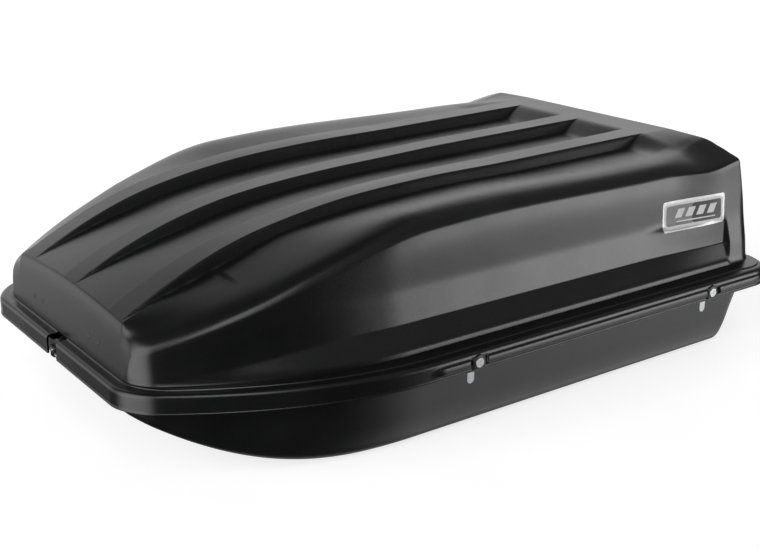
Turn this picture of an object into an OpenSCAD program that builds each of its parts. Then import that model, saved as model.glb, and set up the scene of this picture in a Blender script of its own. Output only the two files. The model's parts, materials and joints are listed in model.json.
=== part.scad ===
// Hard-shell roof cargo box with a front-hinged lid and four cam locks.
// Millimetres, +Z up, nose towards -Y, rear towards +Y, left side of the car at +X.
// The origin is the centre of the flat underside of the base.

/* [Rim] */
// Length of the closed box over the lid skirt
rim_length = 1352; // [1330:2:1380]
// Half the width of the lid skirt over its straight part
rim_half_width = 470; // [455:1:485]
// Height of the lid skirt below the ledge
skirt_height = 34; // [32:1:36]

/* [Shells] */
// Depth of the base below the skirt
base_depth = 140; // [130:1:155]
// Height of the rear edge of the roof above the bottom of the skirt
roof_height = 277; // [265:1:290]
// Wall thickness of the moulded lid and base
wall = 3.4; // [3:0.1:4]
// Height of the three ribs above the roof panels
rib_height = 21; // [16:1:28]
// Distance from the centre line to the middle of an outer rib
rib_spacing = 186; // [182:1:188]
// Half the width of the flat top of a rib
rib_half_width = 26; // [22:1:28]

/* [Locks] */
// Distance of the front pair of locks from the front of the skirt
lock_front_y = 559; // [540:1:600]
// Distance of the rear pair of locks from the front of the skirt
lock_rear_y = 1150; // [1100:1:1180]
// Height of the lock axis above the bottom of the skirt
lock_z = 14.5; // [13:0.1:15]
// Length of a cam from the lock axis to its tip
cam_length = 46; // [40:1:50]

/* [Crossbars] */
// Distance between the left and right clamp plates, hole centre to hole centre
clamp_span_x = 540; // [480:10:580]
// Distance between the two holes of one clamp plate, across the crossbar
clamp_hole_gap = 64; // [56:1:76]
// Half the distance between the front and rear crossbars
clamp_offset_y = 325; // [280:5:330]

/* [Hidden] */
shell_colour = [0.12, 0.12, 0.13];
steel_colour = "silver";
clear = 0.05;      // radial running clearance
fine = 48;         // facets shown on round hardware

// ---- small helpers -------------------------------------------------------
function mix(a, b, t) = a + (b - a) * t;
function limit01(t) = min(1, max(0, t));
function ease(a, b, v) = let (t = limit01((v - a) / (b - a))) t * t * (3 - 2 * t);

// ---- plan outlines -------------------------------------------------------
// An outline is [front y, rear y, half width, nose narrowing, end of the flare,
// front corner radius, rear corner radius]; y runs back from the front of the skirt.
flare_end = 483;
skirt_plan = [0, rim_length, rim_half_width, 184, flare_end, 46, 70];
lid_plan = [24, rim_length - 11, rim_half_width - 49, 166, flare_end - 23, 34, 42];
base_plan = [22, rim_length - 37, rim_half_width - 30, 176, flare_end - 6, 34, 58];

function corner_cut(r, t) = r * (1 - sqrt(1 - pow(1 - limit01(t), 2)));
function half_width(plan, y, inset) =
    let (front = plan[0] + inset)
    let (rear = plan[1] - inset)
    let (flare = plan[3] * pow(limit01((plan[4] - y) / plan[4]), 2))
    plan[2] - inset - flare
    - corner_cut(plan[5], (y - front) / plan[5])
    - corner_cut(plan[6], (rear - y) / plan[6]);

// ---- shared grid ---------------------------------------------------------
// A shell is a grid of stations along the box and columns across it. Stations
// are kept as fractions, so every outline can use them.
function station_y(plan, inset, s) = mix(plan[0] + inset, plan[1] - inset, s);
stations = concat(
    [for (i = [0 : 7]) 0.012 * pow(i / 7, 1.3)],
    [for (i = [1 : 14]) mix(0.012, 0.40, pow(i / 14, 1.5))],
    [for (i = [1 : 7]) mix(0.40, 0.82, i / 7)],
    [for (i = [1 : 6]) mix(0.82, 0.944, i / 6)],
    [for (i = [1 : 8]) mix(0.944, 1, pow(i / 8, 0.75))]
);
last_station = len(stations) - 1;

// Points around the rim: left side back to front, front, right side, rear.
function rim_points(plan, inset, z, across) =
    let (n = len(across) - 1)
    concat(
        [for (i = [0 : last_station])
            let (y = station_y(plan, inset, stations[i]))
            [-half_width(plan, y, inset), y, z]],
        [for (j = [1 : n - 1])
            let (y = plan[1] - inset)
            [across[j] * half_width(plan, y, inset), y, z]],
        [for (i = [last_station : -1 : 0])
            let (y = station_y(plan, inset, stations[i]))
            [half_width(plan, y, inset), y, z]],
        [for (j = [n - 1 : -1 : 1])
            let (y = plan[0] + inset)
            [across[j] * half_width(plan, y, inset), y, z]]
    );

// Numbers of the grid points that lie on the rim, in the same order.
function rim_ids(rows, cols) = concat(
    [for (i = [0 : rows]) i * (cols + 1)],
    [for (j = [1 : cols - 1]) rows * (cols + 1) + j],
    [for (i = [rows : -1 : 0]) i * (cols + 1) + cols],
    [for (j = [cols - 1 : -1 : 1]) j]
);

// Triangles of a grid; up is true when its outside faces +Z.
function grid_faces(rows, cols, start, up) = [
    for (i = [0 : rows - 1], j = [0 : cols - 1], half = [0, 1])
        let (a = start + i * (cols + 1) + j)
        let (b = a + 1)
        let (c = a + cols + 2)
        let (d = a + cols + 1)
        half == 0 ? (up ? [a, c, b] : [a, b, c]) : (up ? [a, d, c] : [a, c, d])
];

// Triangles that join two closed rings of point numbers.
function ring_faces(from, to, turn) =
    let (n = len(from))
    [for (i = [0 : n - 1], half = [0, 1])
        let (k = (i + 1) % n)
        half == 0 ? (turn ? [from[i], from[k], to[k]] : [from[i], to[k], from[k]])
                  : (turn ? [from[i], to[k], to[i]] : [from[i], to[i], to[k]])];

// A closed shell: an outside grid, an inside grid, and rim rings between them.
module shell_solid(outside, inside, rings, cols, up) {
    grid_size = (last_station + 1) * (cols + 1);
    rim = rim_ids(last_station, cols);
    ring_size = len(rim);
    ring_start = 2 * grid_size;
    loops = concat(
        [rim],
        [for (r = [0 : len(rings) - 1]) [for (k = [0 : ring_size - 1]) ring_start + r * ring_size + k]],
        [[for (id = rim) id + grid_size]]
    );
    points = concat(outside, inside, [for (ring = rings) each ring]);
    faces = concat(
        grid_faces(last_station, cols, 0, up),
        grid_faces(last_station, cols, grid_size, !up),
        [for (r = [0 : len(loops) - 2]) each ring_faces(loops[r], loops[r + 1], !up)]
    );
    polyhedron(points, faces, convexity = 10);
}

// ---- lid form ------------------------------------------------------------
// Heights here are above the bottom of the skirt.
rib_end = rim_length - 121;
rib_wall = 6;
outer_rib_foot = rib_spacing + rib_half_width + rib_wall;

function nose(y) = 1 - pow(1 - limit01((y - 28) / 852), 4);
function rib_top(y) = roof_height - 25.5 - 127 * (1 - nose(y)) + 0.02 * (y - 28);
function rib_rise(y) =
    rib_height * sin(90 * limit01((y - 42) / 228)) * (1 - ease(rib_end - 60, rib_end, y));
function panel_top(y) = rib_top(y) - rib_rise(y);
// How much lower the shoulder is where the nose widens into the body.
function shoulder_drop(y) = 9 * (1 - ease(180, 520, y));
function shoulder_top(y) =
    let (nose_sag = 1.45 * rib_rise(y) + 24 * (1 - ease(60, 300, y)))
    let (body_sag = 3.5 + 12.5 * ease(620, 1140, y) - 16 * ease(1190, rim_length - 36, y))
    rib_top(y) - mix(nose_sag, body_sag, ease(220, 520, y)) - shoulder_drop(y);
function front_face(y) = skirt_height + (y - lid_plan[0]) * 7.2;
function rear_face(y) = skirt_height + (lid_plan[1] - y) * 4.4;

// Side of the lid from the shoulder down to the ledge: [distance in from the
// foot, height], for the nose, for the body and for the rear end.
function nose_side(top) = [
    [44, top + 8], [26, top + 1], [14, top - 6], [9.5, top - 13],
    [8, mix(skirt_height, top, 0.75)], [6.5, mix(skirt_height, top, 0.5)],
    [5.5, mix(skirt_height, top, 0.35)], [4, mix(skirt_height, top, 0.22)],
    [1.5, mix(skirt_height, top, 0.1)], [0, skirt_height]];
function body_side(top) = [
    [96, top - 1], [66, top - 5], [50, top - 13], [42.5, top - 25],
    [38.5, top - 52], [36, 139], [34, 125], [24.5, 80], [4.5, 47], [0, skirt_height]];
function rear_side(top) = [
    [121, top], [106, top], [66, top - 14], [25, top - 29],
    [23, top - 75], [18, 132], [13, 102], [8, 77], [3.5, 46], [0, skirt_height]];

function lid_side(y) =
    let (top = shoulder_top(y))
    let (to_body = ease(60, 420, y))
    let (to_rear = ease(rim_length - 240, rim_length - 110, y))
    let (a = nose_side(top))
    let (b = body_side(top))
    let (c = rear_side(top))
    [for (k = [0 : 9]) mix(mix(a[k], b[k], to_body), c[k], to_rear)];

// Columns over the roof, from the centre line outwards: [x, 1 on a rib top].
roof_columns = [
    [0, 1], [rib_half_width * 0.7, 1], [rib_half_width, 1], [rib_half_width + rib_wall, 0],
    [rib_spacing / 2, 0],
    [rib_spacing - rib_half_width - rib_wall, 0], [rib_spacing - rib_half_width, 1],
    [rib_spacing, 1], [rib_spacing + rib_half_width, 1], [outer_rib_foot, 0]];
lid_half_columns = len(roof_columns) + 10 - 1;

// How the inside surface moves each roof column, so that rib walls keep a thickness.
inner_shift = [0, -1, -1, -1, 0, 1, 1, 0, -1, -1];

function lid_half_section(y, inside) =
    let (w = half_width(lid_plan, y, 0) - (inside ? wall : 0))
    let (crown = 9 * (1 - ease(60, 300, y)))
    let (side = lid_side(y))
    let (squeeze = limit01((w - outer_rib_foot - 2) / side[0][0]))
    concat(
        [for (k = [0 : len(roof_columns) - 1])
            let (x = roof_columns[k][0] + (inside ? inner_shift[k] * wall * 0.8 : 0))
            [x, panel_top(y) + roof_columns[k][1] * rib_rise(y)
                - crown * pow(x / outer_rib_foot, 2)]],
        [for (p = side) [w - p[0] * squeeze, p[1]]]
    );

function lid_grid(inside) = [
    for (i = [0 : last_station])
        let (y = station_y(lid_plan, 0, stations[i]))
        let (place = y + (inside ? wall * (1 - 2 * stations[i]) : 0))
        let (section = lid_half_section(y, inside))
        let (cap = min(front_face(y), rear_face(y)))
        for (j = [-lid_half_columns : lid_half_columns])
            let (p = section[abs(j)])
            [sign(j) * p[0], place, min(p[1], cap) - (inside ? wall : 0)]
];

lid_across = let (s = lid_half_section(lid_plan[0], false))
    [for (j = [-lid_half_columns : lid_half_columns])
        sign(j) * s[abs(j)][0] / s[lid_half_columns][0]];

module lid_form() {
    rings = [
        rim_points(skirt_plan, 8, skirt_height, lid_across),
        rim_points(skirt_plan, 2.5, skirt_height - 2, lid_across),
        rim_points(skirt_plan, 0, skirt_height - 8, lid_across),
        rim_points(skirt_plan, 0, 2, lid_across),
        rim_points(skirt_plan, -1, 0, lid_across),
        rim_points(skirt_plan, wall, 0, lid_across),
        rim_points(skirt_plan, wall, skirt_height - wall - 4, lid_across),
        rim_points(skirt_plan, wall + 4, skirt_height - wall, lid_across)
    ];
    shell_solid(lid_grid(false), lid_grid(true), rings, 2 * lid_half_columns, true);
}

// ---- base form -----------------------------------------------------------
flange_z = 22.5;    // underside of the outward flange, above the bottom of the skirt
floor_start = 385;

function hull_depth(y) =
    let (t = limit01((y - base_plan[0]) / (floor_start - base_plan[0])))
    min(18 + (base_depth - 18) * (1 - pow(1 - t, 2)),
        (y - base_plan[0]) * 12,
        (base_plan[1] - y) * 2.9);

// Half section of the base wall: [distance in from the rim, part of the depth].
base_side = [
    [72, 1], [56, 0.985], [42, 0.93], [32, 0.83], [24, 0.66], [14, 0.36], [5, 0.12], [0, 0]];
base_floor_columns = 5;
base_half_columns = base_floor_columns + len(base_side) - 1;

function base_half_section(y, inside) =
    let (w = half_width(base_plan, y, 0) - (inside ? wall : 0))
    let (depth = hull_depth(y))
    let (bilge = mix(0.3, 1, ease(30, floor_start, y)))
    let (edge = w - base_side[0][0] * bilge)
    concat(
        [for (k = [0 : base_floor_columns - 1]) [edge * k / base_floor_columns, depth]],
        [for (p = base_side) [w - p[0] * bilge, depth * p[1]]]
    );

function base_grid(inside) = [
    for (i = [0 : last_station])
        let (y = station_y(base_plan, 0, stations[i]))
        let (place = y + (inside ? wall * (1 - 2 * stations[i]) : 0))
        let (section = base_half_section(y, inside))
        for (j = [-base_half_columns : base_half_columns])
            let (p = section[abs(j)])
            [sign(j) * p[0], place, (inside ? wall : 0) - p[1]]
];

base_across = let (s = base_half_section(base_plan[0], false))
    [for (j = [-base_half_columns : base_half_columns])
        sign(j) * s[abs(j)][0] / s[base_half_columns][0]];

flange_inset = 10;

module base_form() {
    rings = [
        rim_points(base_plan, 0, flange_z, base_across),
        rim_points(skirt_plan, flange_inset, flange_z, base_across),
        rim_points(skirt_plan, flange_inset, flange_z + wall, base_across),
        rim_points(base_plan, wall, flange_z + wall, base_across)
    ];
    shell_solid(base_grid(false), base_grid(true), rings, 2 * base_half_columns, false);
}

// ---- places --------------------------------------------------------------
// Moves a piece from rim coordinates (front of skirt, bottom of skirt) to the part frame.
module in_rim() {
    translate([0, -rim_length / 2, base_depth]) children();
}

lock_ys = [lock_front_y, lock_rear_y];

// Puts a piece, drawn along +X with the lock axis as its own axis, at one lock.
module at_lock(y, side) {
    in_rim() mirror([side < 0 ? 1 : 0, 0, 0])
        translate([rim_half_width, y, lock_z]) children();
}

module at_every_lock() {
    for (y = lock_ys, side = [-1, 1]) at_lock(y, side) children();
}

module rod(r, from, to) {
    translate([from, 0, 0]) rotate([0, 90, 0]) cylinder(r = r, h = to - from, $fn = fine);
}

notch_half = 21;      // half the width of the slot at the front of both rims

// ---- hinge ---------------------------------------------------------------
pin_y = 9;
pin_z = 0;
pin_r = 3;
fascia_lean = atan(1 / 7.2);
lid_rivet_xs = [-140, -103, 103, 140];
lid_rivet_z = 65;
base_rivet_xs = [-52, -34, 34, 52];
base_rivet_z = -9;
rivet_r = 2.4;
plate_t = 2;
arm_x = 9;
arm_t = 2.5;
ear_x = 14;

plate_gap = 0.3;      // air between the wall and the hinge plate
fascia_wall = wall * (1 + tan(fascia_lean)) * cos(fascia_lean);

// Puts a piece, drawn with the wall's inside face on the XZ plane, on the lid fascia.
module on_fascia() {
    in_rim() translate([0, lid_plan[0] + (fascia_wall + plate_gap) / cos(fascia_lean), skirt_height])
        rotate([-fascia_lean, 0, 0]) children();
}
fascia_rivet_z = (lid_rivet_z - skirt_height) / cos(fascia_lean);

module lid_rivet_places() {
    on_fascia() for (x = lid_rivet_xs) translate([x, 0, fascia_rivet_z]) rotate([-90, 0, 0]) children();
}

module base_rivet_places() {
    in_rim() for (x = base_rivet_xs) translate([x, base_plan[0], base_rivet_z]) rotate([-90, 0, 0]) children();
}

// ---- lid -----------------------------------------------------------------
// A raised pad with a round top that carries one lock.
module lock_boss() {
    translate([-1, 0, 0]) rotate([90, 0, 90]) linear_extrude(height = boss_out + 1) {
        translate([0, boss_top - boss_half - lock_z]) circle(r = boss_half, $fn = fine);
        translate([-boss_half, boss_bottom - lock_z])
            square([2 * boss_half, boss_top - boss_half - boss_bottom]);
    }
}

module lid_shell() {
    color(shell_colour) difference() {
        union() {
            in_rim() lid_form();
            at_every_lock() lock_boss();
        }
        at_every_lock() rod(8 + clear, -10, boss_out + 5);
        in_rim() translate([-notch_half, -4, -1]) cube([2 * notch_half, 26, skirt_height + 4]);
        lid_rivet_places() cylinder(r = rivet_r + clear, h = 30, center = true, $fn = fine);
    }
}

// ---- base ----------------------------------------------------------------
module base_shell() {
    color(shell_colour) difference() {
        in_rim() base_form();
        at_every_lock() translate([-26, -cam_slot_half, 0]) cube([30, 2 * cam_slot_half, 20]);
        in_rim() translate([-notch_half, -4, 1]) cube([2 * notch_half, 34, 30]);
        base_rivet_places() cylinder(r = rivet_r + clear, h = 30, center = true, $fn = fine);
        clamp_holes() cylinder(r = clamp_hole_r, h = 20, center = true, $fn = fine);
    }
}

// ---- crossbar clamp plates -----------------------------------------------
clamp_hole_r = 4.5;
clamp_middle_y = 100;   // middle of the flat floor

module clamp_places() {
    for (x = [-1, 1], end = [-1, 1])
        translate([x * clamp_span_x / 2, clamp_middle_y + end * clamp_offset_y, wall]) children();
}

module clamp_holes() {
    clamp_places() for (gap = [-1, 1]) translate([0, gap * clamp_hole_gap / 2, 0]) children();
}

module clamp_plates() {
    plate_x = 56;
    plate_y = clamp_hole_gap + 46;
    color(steel_colour) difference() {
        clamp_places() translate([-plate_x / 2, -plate_y / 2, 0]) cube([plate_x, plate_y, 2.5]);
        clamp_holes() cylinder(r = clamp_hole_r, h = 20, center = true, $fn = fine);
    }
}

// ---- seal ----------------------------------------------------------------
module rim_area(inset) {
    polygon([for (p = rim_points(skirt_plan, inset, 0, base_across)) [p[0], p[1]]]);
}

seal_gap = 0.6;       // room left under the lid ledge
seal_height = skirt_height - 2 * wall - flange_z - seal_gap;

module weather_seal() {
    color("dimgray") in_rim() difference() {
        translate([0, 0, flange_z + wall]) linear_extrude(height = seal_height) difference() {
            rim_area(13.5);
            rim_area(20.5);
        }
        translate([-notch_half - 4, -4, 0]) cube([2 * notch_half + 8, 40, 40]);
    }
}

// ---- label ---------------------------------------------------------------
label_y = [1090, 1252];
label_z = [124.5, 184];

// Distance in from the foot line of the outside of the lid at one height.
function side_at(side, z, k = 8) =
    (k == 0 || z <= side[k][1])
    ? mix(side[k + 1][0], side[k][0], (z - side[k + 1][1]) / (side[k][1] - side[k + 1][1]))
    : side_at(side, z, k - 1);

function label_point(y, z, lift) =
    [half_width(lid_plan, y, 0) - side_at(lid_side(y), z) + lift, y, z];

module side_label() {
    along = 12;
    up_steps = 4;
    points = [for (lift = [1.9, 2.5], i = [0 : along], j = [0 : up_steps])
        label_point(mix(label_y[0], label_y[1], i / along), mix(label_z[0], label_z[1], j / up_steps), lift)];
    count = (along + 1) * (up_steps + 1);
    rim = rim_ids(along, up_steps);
    color("white") in_rim() polyhedron(points, concat(
        grid_faces(along, up_steps, 0, true),
        grid_faces(along, up_steps, count, false),
        ring_faces(rim, [for (id = rim) id + count], false)));
}

// ---- hinge parts ---------------------------------------------------------
module arm_profile() {
    polygon([[pin_y - 5.5, pin_z], [pin_y, pin_z - 5.5], [pin_y + 6, pin_z],
        [31, 22], [36, 34], [36, 44], [30.6, 44], [29.2, 31.4], [27, 29.4], [21, 27]]);
}

module hinge_lid_plate() {
    color(steel_colour) difference() {
        union() {
            on_fascia() translate([-156, 0, fascia_rivet_z - 13]) cube([312, plate_t, 26]);
            on_fascia() translate([-arm_x - arm_t, 0, 3]) cube([2 * (arm_x + arm_t), plate_t, fascia_rivet_z]);
            for (x = [-arm_x - arm_t, arm_x])
                in_rim() translate([x, 0, 0]) rotate([90, 0, 90]) linear_extrude(height = arm_t) union() {
                    arm_profile();
                    translate([pin_y, pin_z]) circle(r = 6, $fn = fine);
                }
        }
        in_rim() translate([0, pin_y, pin_z]) rod(pin_r + clear, -30, 30);
        lid_rivet_places() cylinder(r = rivet_r + clear, h = 30, center = true, $fn = fine);
    }
}

module hinge_base_bracket() {
    color(steel_colour) difference() {
        union() {
            in_rim() translate([-62, base_plan[0] - plate_t - 0.6, -17]) cube([124, plate_t, 16]);
            for (x = [-ear_x - arm_t, ear_x])
                in_rim() translate([x, 0, 0]) rotate([90, 0, 90]) linear_extrude(height = arm_t) union() {
                    polygon([[pin_y, -6], [base_plan[0] - 1, -17], [base_plan[0] - 1, -1], [pin_y, 6]]);
                    translate([pin_y, pin_z]) circle(r = 6, $fn = fine);
                }
        }
        in_rim() translate([0, pin_y, pin_z]) rod(pin_r + clear, -30, 30);
        base_rivet_places() cylinder(r = rivet_r + clear, h = 30, center = true, $fn = fine);
    }
}

pin_half = 19;

module hinge_pin() {
    color("gainsboro") in_rim() translate([0, pin_y, pin_z]) difference() {
        rod(pin_r, -pin_half, pin_half);
        for (x = [-1, 1]) translate([x * (pin_half - 1.5), 0, 0]) clip_groove();
    }
}

module clip_groove() {
    difference() {
        rod(pin_r + 1, -0.45, 0.45);
        rod(pin_r - 0.6, -1, 1);
    }
}

module hinge_pin_clips() {
    color("gray") in_rim() for (x = [-1, 1])
        translate([x * (pin_half - 1.5), pin_y, pin_z]) difference() {
            rod(5, -0.4, 0.4);
            rod(pin_r - 0.6 + clear, -1, 1);
            translate([-1, -1.4, 0]) cube([2, 2.8, 8]);
        }
}

// A blind rivet: domed head outside, shank, and the rolled tail inside.
module rivet(head_z, tail_z) {
    translate([0, 0, head_z - 1.4]) cylinder(r1 = 3.4, r2 = 4.8, h = 1.4, $fn = fine);
    translate([0, 0, head_z]) cylinder(r = rivet_r, h = tail_z - head_z, $fn = fine);
    translate([0, 0, tail_z]) cylinder(r = 3.8, h = 1.6, $fn = fine);
}

module hinge_lid_rivets() {
    color(shell_colour) lid_rivet_places() rivet(-fascia_wall - plate_gap - 0.05, plate_t + 0.05);
}

module hinge_base_rivets() {
    color(steel_colour) base_rivet_places() rivet(-plate_t - 0.65, wall + 1.8);
}

// ---- locks ---------------------------------------------------------------
barrel_in = -17;
boss_out = 3.4;       // how far the pad round a lock stands out from the skirt
boss_half = 13;       // half the width of that pad
boss_bottom = 2.5;    // height of its lower edge
boss_top = 27.5;      // height of the crown of its arch
plug_r = 5.4;
cam_half = 7.4;       // half the width of a cam
cam_slot_half = 13;   // half the width of the gap that lets a cam through the flange

module lock_housings() {
    color("silver") at_every_lock() difference() {
        union() {
            rod(9.5, boss_out + 0.1, boss_out + 2.2);
            rod(8.6, boss_out + 2.2, boss_out + 3);
            rod(8, barrel_in, boss_out + 1);
        }
        rod(plug_r + clear, barrel_in - 1, boss_out + 4);
    }
}

module lock_nuts() {
    color("darkgray") at_every_lock() difference() {
        translate([-wall - 4.3, 0, 0]) rotate([0, 90, 0]) cylinder(r = 10.5, h = 4, $fn = 6);
        rod(8 + clear, -20, 4);
    }
}

module lock_plug(y, side) {
    color("silver") at_lock(y, side) difference() {
        union() {
            rod(plug_r, barrel_in, boss_out + 2.6);
            translate([barrel_in - 2.3, -3, -3]) cube([2.4, 6, 6]);
        }
        translate([boss_out + 1.2, -0.7, -3.4]) cube([3, 1.4, 6.8]);
        rod(2 + clear, barrel_in - 4, barrel_in + 8);
    }
}

module lock_cam(y, side) {
    color("gainsboro") at_lock(y, side) translate([barrel_in - 2.2, 0, 0]) rotate([90, 0, 90])
        linear_extrude(height = 2) difference() {
            union() {
                circle(r = cam_half, $fn = fine);
                translate([-cam_half, cam_half - cam_length]) square([2 * cam_half, cam_length - cam_half]);
                translate([0, cam_half - cam_length]) circle(r = cam_half, $fn = fine);
            }
            square([6 + 2 * clear, 6 + 2 * clear], center = true);
        }
}

module cam_screw(y, side) {
    color("gray") at_lock(y, side) {
        rod(4.6, barrel_in - 4.6, barrel_in - 2.35);
        rod(2, barrel_in - 2.4, barrel_in + 7);
    }
}

// ---- assembly ------------------------------------------------------------
lid_shell();
base_shell();
weather_seal();
side_label();
hinge_lid_plate();
hinge_base_bracket();
hinge_pin();
hinge_pin_clips();
hinge_lid_rivets();
hinge_base_rivets();
lock_housings();
lock_nuts();
lock_plug(lock_front_y, 1);  // lock_plug_front_left
lock_plug(lock_front_y, -1);  // lock_plug_front_right
lock_plug(lock_rear_y, 1);  // lock_plug_rear_left
lock_plug(lock_rear_y, -1);  // lock_plug_rear_right
lock_cam(lock_front_y, 1);  // lock_cam_front_left
lock_cam(lock_front_y, -1);  // lock_cam_front_right
lock_cam(lock_rear_y, 1);  // lock_cam_rear_left
lock_cam(lock_rear_y, -1);  // lock_cam_rear_right
cam_screw(lock_front_y, 1);  // cam_screw_front_left
cam_screw(lock_front_y, -1);  // cam_screw_front_right
cam_screw(lock_rear_y, 1);  // cam_screw_rear_left
cam_screw(lock_rear_y, -1);  // cam_screw_rear_right
clamp_plates();
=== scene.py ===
"""Roof cargo box: the visual model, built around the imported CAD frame.

Shapes are worked out in millimetres in rim coordinates: x across from the centre line, y back
from the front of the lid skirt, z up from the bottom of the skirt. place() turns them into metres
in the frame.
"""

import json
import math

import bmesh
import bpy
import numpy as np
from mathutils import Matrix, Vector


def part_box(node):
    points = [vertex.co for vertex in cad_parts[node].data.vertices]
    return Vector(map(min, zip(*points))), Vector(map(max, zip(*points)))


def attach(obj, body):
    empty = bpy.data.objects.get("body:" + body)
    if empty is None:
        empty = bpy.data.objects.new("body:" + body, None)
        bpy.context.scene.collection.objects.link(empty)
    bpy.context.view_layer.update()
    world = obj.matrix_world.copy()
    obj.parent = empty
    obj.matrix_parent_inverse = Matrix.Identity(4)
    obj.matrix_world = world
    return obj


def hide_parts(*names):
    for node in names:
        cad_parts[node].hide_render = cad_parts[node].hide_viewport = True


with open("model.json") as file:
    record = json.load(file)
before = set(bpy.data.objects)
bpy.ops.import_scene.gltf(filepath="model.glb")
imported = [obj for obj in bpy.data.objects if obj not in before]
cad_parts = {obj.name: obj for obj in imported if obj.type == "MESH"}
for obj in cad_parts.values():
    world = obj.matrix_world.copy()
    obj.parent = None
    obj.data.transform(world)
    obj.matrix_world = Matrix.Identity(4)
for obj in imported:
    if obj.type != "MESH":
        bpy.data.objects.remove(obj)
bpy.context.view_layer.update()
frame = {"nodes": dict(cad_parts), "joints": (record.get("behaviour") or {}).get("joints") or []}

# ---- driving dimensions, from the frame ------------------------------------
MM = 1000.0
LIP = 1.0          # how far the lip at the bottom of the skirt stands out
lid_low, lid_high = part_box("lid_shell")
LENGTH = (lid_high.y - lid_low.y) * MM - 2 * LIP
HALF_WIDTH = lid_high.x * MM - LIP
FRONT = lid_low.y * MM + LIP
RIM_Z = lid_low.z * MM
JOINTS = {joint["name"]: joint for joint in frame["joints"]}


def lock_y(name):
    return JOINTS[name]["pos_m"][1] * MM - FRONT


LOCK_YS = [lock_y("lock_turn_front_left"), lock_y("lock_turn_rear_left")]
LOCK_Z = JOINTS["lock_turn_front_left"]["pos_m"][2] * MM - RIM_Z

SKIRT = 34.0       # height of the skirt
LEDGE_STEP = 2.2   # how far the inner strip of the ledge is above its outer strip
FOOT_Z = SKIRT + LEDGE_STEP
WALL = 3.4
BASE_DEPTH = RIM_Z
RIB_SPACING = 186.0
RIB_TOP_HALF = 26.5
RIB_FOOT_HALF = 33.0
RIB_ROUND = 0.34    # part of a rib's height that its upper edge is rounded over
RIB_HEIGHT = 21.0
OUTER_FOOT = RIB_SPACING + RIB_FOOT_HALF
RIB_END = LENGTH - 138
NOTCH_HALF = 21.0       # the notch for the hinge in the middle of the front rim
LID_NOTCH_DEPTH = 22.0
BASE_NOTCH_DEPTH = 30.0
LOCK_HOLE_RADIUS = 8.05
FLANGE_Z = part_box("base_shell")[1].z * MM - RIM_Z - WALL

# An outline is front y, rear y, half width, nose narrowing, end of the flare,
# front corner radius, rear corner radius.
FLARE_END = 483.0
SKIRT_PLAN = (0, LENGTH, HALF_WIDTH, 184, FLARE_END, 46, 70)
LID_PLAN = (24, LENGTH - 11, HALF_WIDTH - 49, 166, FLARE_END - 23, 34, 42)
BASE_PLAN = (22, LENGTH - 37, HALF_WIDTH - 30, 176, FLARE_END - 6, 34, 58)


# ---- small helpers -----------------------------------------------------------
def mix(a, b, t):
    return a + (b - a) * t


def limit01(t):
    return np.clip(t, 0.0, 1.0)


def ease(a, b, v):
    t = limit01((v - a) / (b - a))
    return t * t * (3 - 2 * t)


def ramp(a, b, rounding, v):
    """A straight rise from 0 at a to 1 at b, with both ends rounded over a short distance."""
    length = b - a - rounding
    start = limit01((v - a) / rounding) ** 2 * rounding / (2 * length)
    middle = np.clip(v - a - rounding, 0, b - a - 2 * rounding) / length
    end = (1 - (1 - limit01((v - b + rounding) / rounding)) ** 2) * rounding / (2 * length)
    return start + middle + end


def smooth_min(a, b, radius):
    """The smaller of a and b, with the corner between them rounded."""
    closeness = np.clip(radius - np.abs(a - b), 0, None) / np.maximum(radius, 1e-6)
    return np.minimum(a, b) - closeness ** 2 * radius / 4


def rounded(nodes):
    """Points along a polyline of (x, z, radius), with its corners rounded: 5 points a corner."""
    nodes = np.array(nodes, float)
    points = []
    for i in range(len(nodes) - 1):
        here = nodes[i, :2]
        if i == 0:
            continue
        back = nodes[i - 1, :2] - here
        ahead = nodes[i + 1, :2] - here
        cut_back = min(nodes[i, 2], 0.46 * np.hypot(*back)) / max(np.hypot(*back), 1e-6)
        cut_ahead = min(nodes[i, 2], 0.46 * np.hypot(*ahead)) / max(np.hypot(*ahead), 1e-6)
        start = here + back * cut_back
        end = here + ahead * cut_ahead
        for t in (0, 0.25, 0.5, 0.75, 1):
            points.append((1 - t) ** 2 * start + 2 * t * (1 - t) * here + t * t * end)
        following = nodes[i + 1, :2] - ahead * min(nodes[i + 1, 2] / max(np.hypot(*ahead), 1e-6), 0.46)
        points.append((end + following) / 2)
    points.append(nodes[-1, :2])
    return np.array(points)


def corner_cut(radius, t):
    return radius * (1 - np.sqrt(1 - (1 - limit01(t)) ** 2))


def half_width(plan, y, inset=0.0):
    front, rear, half, narrowing, flare_end, front_radius, rear_radius = plan
    flare = narrowing * limit01((flare_end - y) / flare_end) ** 2
    return (half - inset - flare
            - corner_cut(front_radius, (y - front - inset) / front_radius)
            - corner_cut(rear_radius, (rear - inset - y) / rear_radius))


def place(points):
    """Rim coordinates in millimetres to frame coordinates in metres."""
    return (np.asarray(points, float) + (0, FRONT, RIM_Z)) / MM


# ---- meshes -------------------------------------------------------------------
def mesh_object(name, points, faces, material, smooth=True):
    mesh = bpy.data.meshes.new(name)
    mesh.from_pydata([tuple(p) for p in place(points)], [], [tuple(int(i) for i in f) for f in faces])
    mesh.validate()
    mesh.polygons.foreach_set("use_smooth", [smooth] * len(mesh.polygons))
    mesh.materials.append(material)
    mesh.update()
    obj = bpy.data.objects.new(name, mesh)
    bpy.context.scene.collection.objects.link(obj)
    return obj


def piece(obj, body, slot, *nodes):
    """Hands a finished mesh to the frame: the body it rides on and the CAD it stands for. The slot, its
    finish, is not used.
    """
    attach(obj, body)
    if nodes:
        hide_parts(*nodes)
    return obj


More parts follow.
